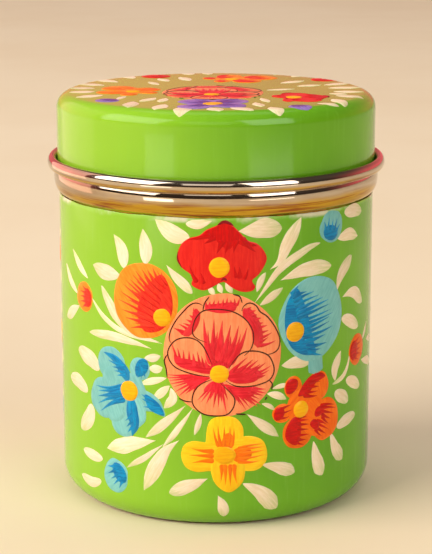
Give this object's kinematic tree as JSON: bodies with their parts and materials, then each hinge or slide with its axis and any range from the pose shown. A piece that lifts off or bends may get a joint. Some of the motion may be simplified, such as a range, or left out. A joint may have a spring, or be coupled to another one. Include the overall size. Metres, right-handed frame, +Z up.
{
  "type": "lidded steel storage canister",
  "caption": "Round stainless steel food canister with a rolled rim and a drop-in cap lid, enamelled green and hand-painted with flowers.",
  "frame": {"origin": "middle of the base, on the surface that the canister stands on", "axes": "+Z up along the canister's axis, from the base to the lid; the painted front faces -Y, and +X is to its right"},
  "size_m": [0.1072, 0.1072, 0.1283],
  "materials": {
    "polished_steel": "polished stainless steel, spun",
    "green_enamel": "glossy hand-painted enamel",
    "lid_steel": "satin stainless steel, spun",
    "lid_green_enamel": "glossy hand-painted enamel"
  },
  "bodies": {
    "canister": {"canister_body": "polished_steel", "body_enamel": "green_enamel"},
    "lid": {"lid_shell": "lid_steel", "lid_enamel": "lid_green_enamel"}
  },
  "joints": [
    {"name": "lid_lift", "type": "slide", "parent": "canister", "child": "lid", "axis": [0, 0, 1], "range_m": [0, 0.12]}
  ]
}
